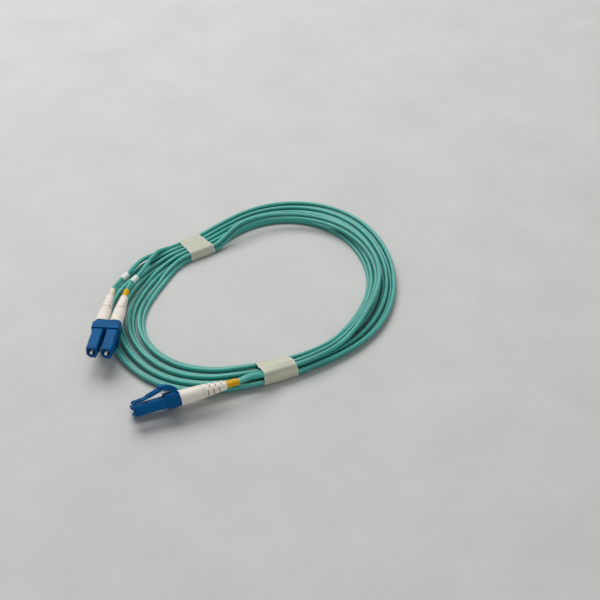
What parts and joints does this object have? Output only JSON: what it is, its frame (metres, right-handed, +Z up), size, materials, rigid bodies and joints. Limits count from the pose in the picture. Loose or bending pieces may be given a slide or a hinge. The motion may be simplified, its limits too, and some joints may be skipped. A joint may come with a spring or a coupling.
{
  "type": "duplex fibre optic patch cord",
  "caption": "Coiled and taped duplex fibre optic patch cord with small-form duplex plugs, latches, boots and press triggers on both ends.",
  "frame": {"origin": "middle of the underside of the box round the two plug pairs, on the table that the coil lies on", "axes": "+Z up from the table, +Y from the plug pair that lies in front towards the back of the coil, +X towards the coil's middle"},
  "size_m": [0.134, 0.1578, 0.0146],
  "materials": {
    "ceramic": "polished white zirconia",
    "nickel": "plain nickel",
    "spring_steel": "bright wire",
    "crimp_metal": "satin",
    "plug_blue": "moulded, satin",
    "clip_blue": "moulded, satin",
    "boot_white": "soft, matte",
    "sleeve_yellow": "shrunk, satin",
    "sleeve_ivory": "shrunk, satin",
    "marker_white": "satin",
    "buffer_white": "satin",
    "jacket_aqua": "soft sheen",
    "tape_cream": "slightly see-through film"
  },
  "bodies": {
    "cord_and_shells": {"a1_spring": "spring_steel", "a1_housing": "plug_blue", "a1_back_body": "plug_blue", "a1_crimp_sleeve": "crimp_metal", "a1_boot": "boot_white", "a1_sleeve": "sleeve_ivory", "a1_fibre": "buffer_white", "a1_leg": "jacket_aqua", "a2_spring": "spring_steel", "a2_housing": "plug_blue", "a2_back_body": "plug_blue", "a2_crimp_sleeve": "crimp_metal", "a2_boot": "boot_white", "a2_sleeve": "sleeve_yellow", "a2_fibre": "buffer_white", "a2_leg": "jacket_aqua", "b1_spring": "spring_steel", "b1_housing": "plug_blue", "b1_back_body": "plug_blue", "b1_crimp_sleeve": "crimp_metal", "b1_boot": "boot_white", "b1_sleeve": "sleeve_yellow", "b1_fibre": "buffer_white", "b1_leg": "jacket_aqua", "b2_spring": "spring_steel", "b2_housing": "plug_blue", "b2_back_body": "plug_blue", "b2_crimp_sleeve": "crimp_metal", "b2_boot": "boot_white", "b2_sleeve": "sleeve_yellow", "b2_fibre": "buffer_white", "b2_leg": "jacket_aqua", "a1_marker": "marker_white", "a2_marker": "marker_white", "a_clip": "clip_blue", "b_clip": "clip_blue", "coil": "jacket_aqua", "tape_back": "tape_cream", "tape_front": "tape_cream"},
    "a1_ferrule_body": {"a1_ferrule": "ceramic", "a1_flange": "nickel"},
    "a1_latch_body": {"a1_latch": "plug_blue"},
    "a2_ferrule_body": {"a2_ferrule": "ceramic", "a2_flange": "nickel"},
    "a2_latch_body": {"a2_latch": "plug_blue"},
    "b1_ferrule_body": {"b1_ferrule": "ceramic", "b1_flange": "nickel"},
    "b1_latch_body": {"b1_latch": "plug_blue"},
    "b2_ferrule_body": {"b2_ferrule": "ceramic", "b2_flange": "nickel"},
    "b2_latch_body": {"b2_latch": "plug_blue"},
    "a_trigger_body": {"a_trigger": "clip_blue"},
    "b_trigger_body": {"b_trigger": "clip_blue"}
  },
  "joints": [
    {"name": "a1_ferrule_slide", "type": "slide", "parent": "cord_and_shells", "child": "a1_ferrule_body", "axis": [0.0853, 0.995, -0.0523], "range_m": [0, 0.0008], "stiffness_N_per_m": 1000, "deforming": ["a1_spring"]},
    {"name": "a2_ferrule_slide", "type": "slide", "parent": "cord_and_shells", "child": "a2_ferrule_body", "axis": [0.0853, 0.995, -0.0523], "range_m": [0, 0.0008], "stiffness_N_per_m": 1000, "deforming": ["a2_spring"]},
    {"name": "b1_ferrule_slide", "type": "slide", "parent": "cord_and_shells", "child": "b1_ferrule_body", "axis": [0.9374, 0.3449, 0.0488], "range_m": [0, 0.0008], "stiffness_N_per_m": 1000, "deforming": ["b1_spring"]},
    {"name": "b2_ferrule_slide", "type": "slide", "parent": "cord_and_shells", "child": "b2_ferrule_body", "axis": [0.9374, 0.3449, 0.0488], "range_m": [0, 0.0008], "stiffness_N_per_m": 1000, "deforming": ["b2_spring"]},
    {"name": "a_trigger_press", "type": "hinge", "parent": "cord_and_shells", "child": "a_trigger_body", "pos_m": [-0.02327, 0.01573, 0.00672], "axis": [-0.9963, 0.0854, 0], "range_deg": [0, 14], "stiffness_Nm_per_rad": 0.02},
    {"name": "b_trigger_press", "type": "hinge", "parent": "cord_and_shells", "child": "b_trigger_body", "pos_m": [0.00839, -0.02379, 0.00868], "axis": [0.2395, -0.74, 0.6286], "range_deg": [0, 14], "stiffness_Nm_per_rad": 0.02},
    {"name": "a1_latch_flex", "type": "hinge", "parent": "cord_and_shells", "child": "a1_latch_body", "pos_m": [-0.02787, -0.00139, 0.00803], "axis": [0.9963, -0.0854, 0], "range_deg": [0, 8]},
    {"name": "a2_latch_flex", "type": "hinge", "parent": "cord_and_shells", "child": "a2_latch_body", "pos_m": [-0.02165, -0.00192, 0.00803], "axis": [0.9963, -0.0854, 0], "range_deg": [0, 8]},
    {"name": "b1_latch_flex", "type": "hinge", "parent": "cord_and_shells", "child": "b1_latch_body", "pos_m": [-0.00716, -0.03237, 0.00948], "axis": [-0.2395, 0.74, -0.6286], "range_deg": [0, 8]},
    {"name": "b2_latch_flex", "type": "hinge", "parent": "cord_and_shells", "child": "b2_latch_body", "pos_m": [-0.00866, -0.02774, 0.00555], "axis": [-0.2395, 0.74, -0.6286], "range_deg": [0, 8]}
  ],
  "couplings": [
    {"joint": "a1_latch_flex", "follows": "a_trigger_press", "ratio": 0.5714},
    {"joint": "a2_latch_flex", "follows": "a_trigger_press", "ratio": 0.5714},
    {"joint": "b1_latch_flex", "follows": "b_trigger_press", "ratio": 0.5714},
    {"joint": "b2_latch_flex", "follows": "b_trigger_press", "ratio": 0.5714}
  ]
}
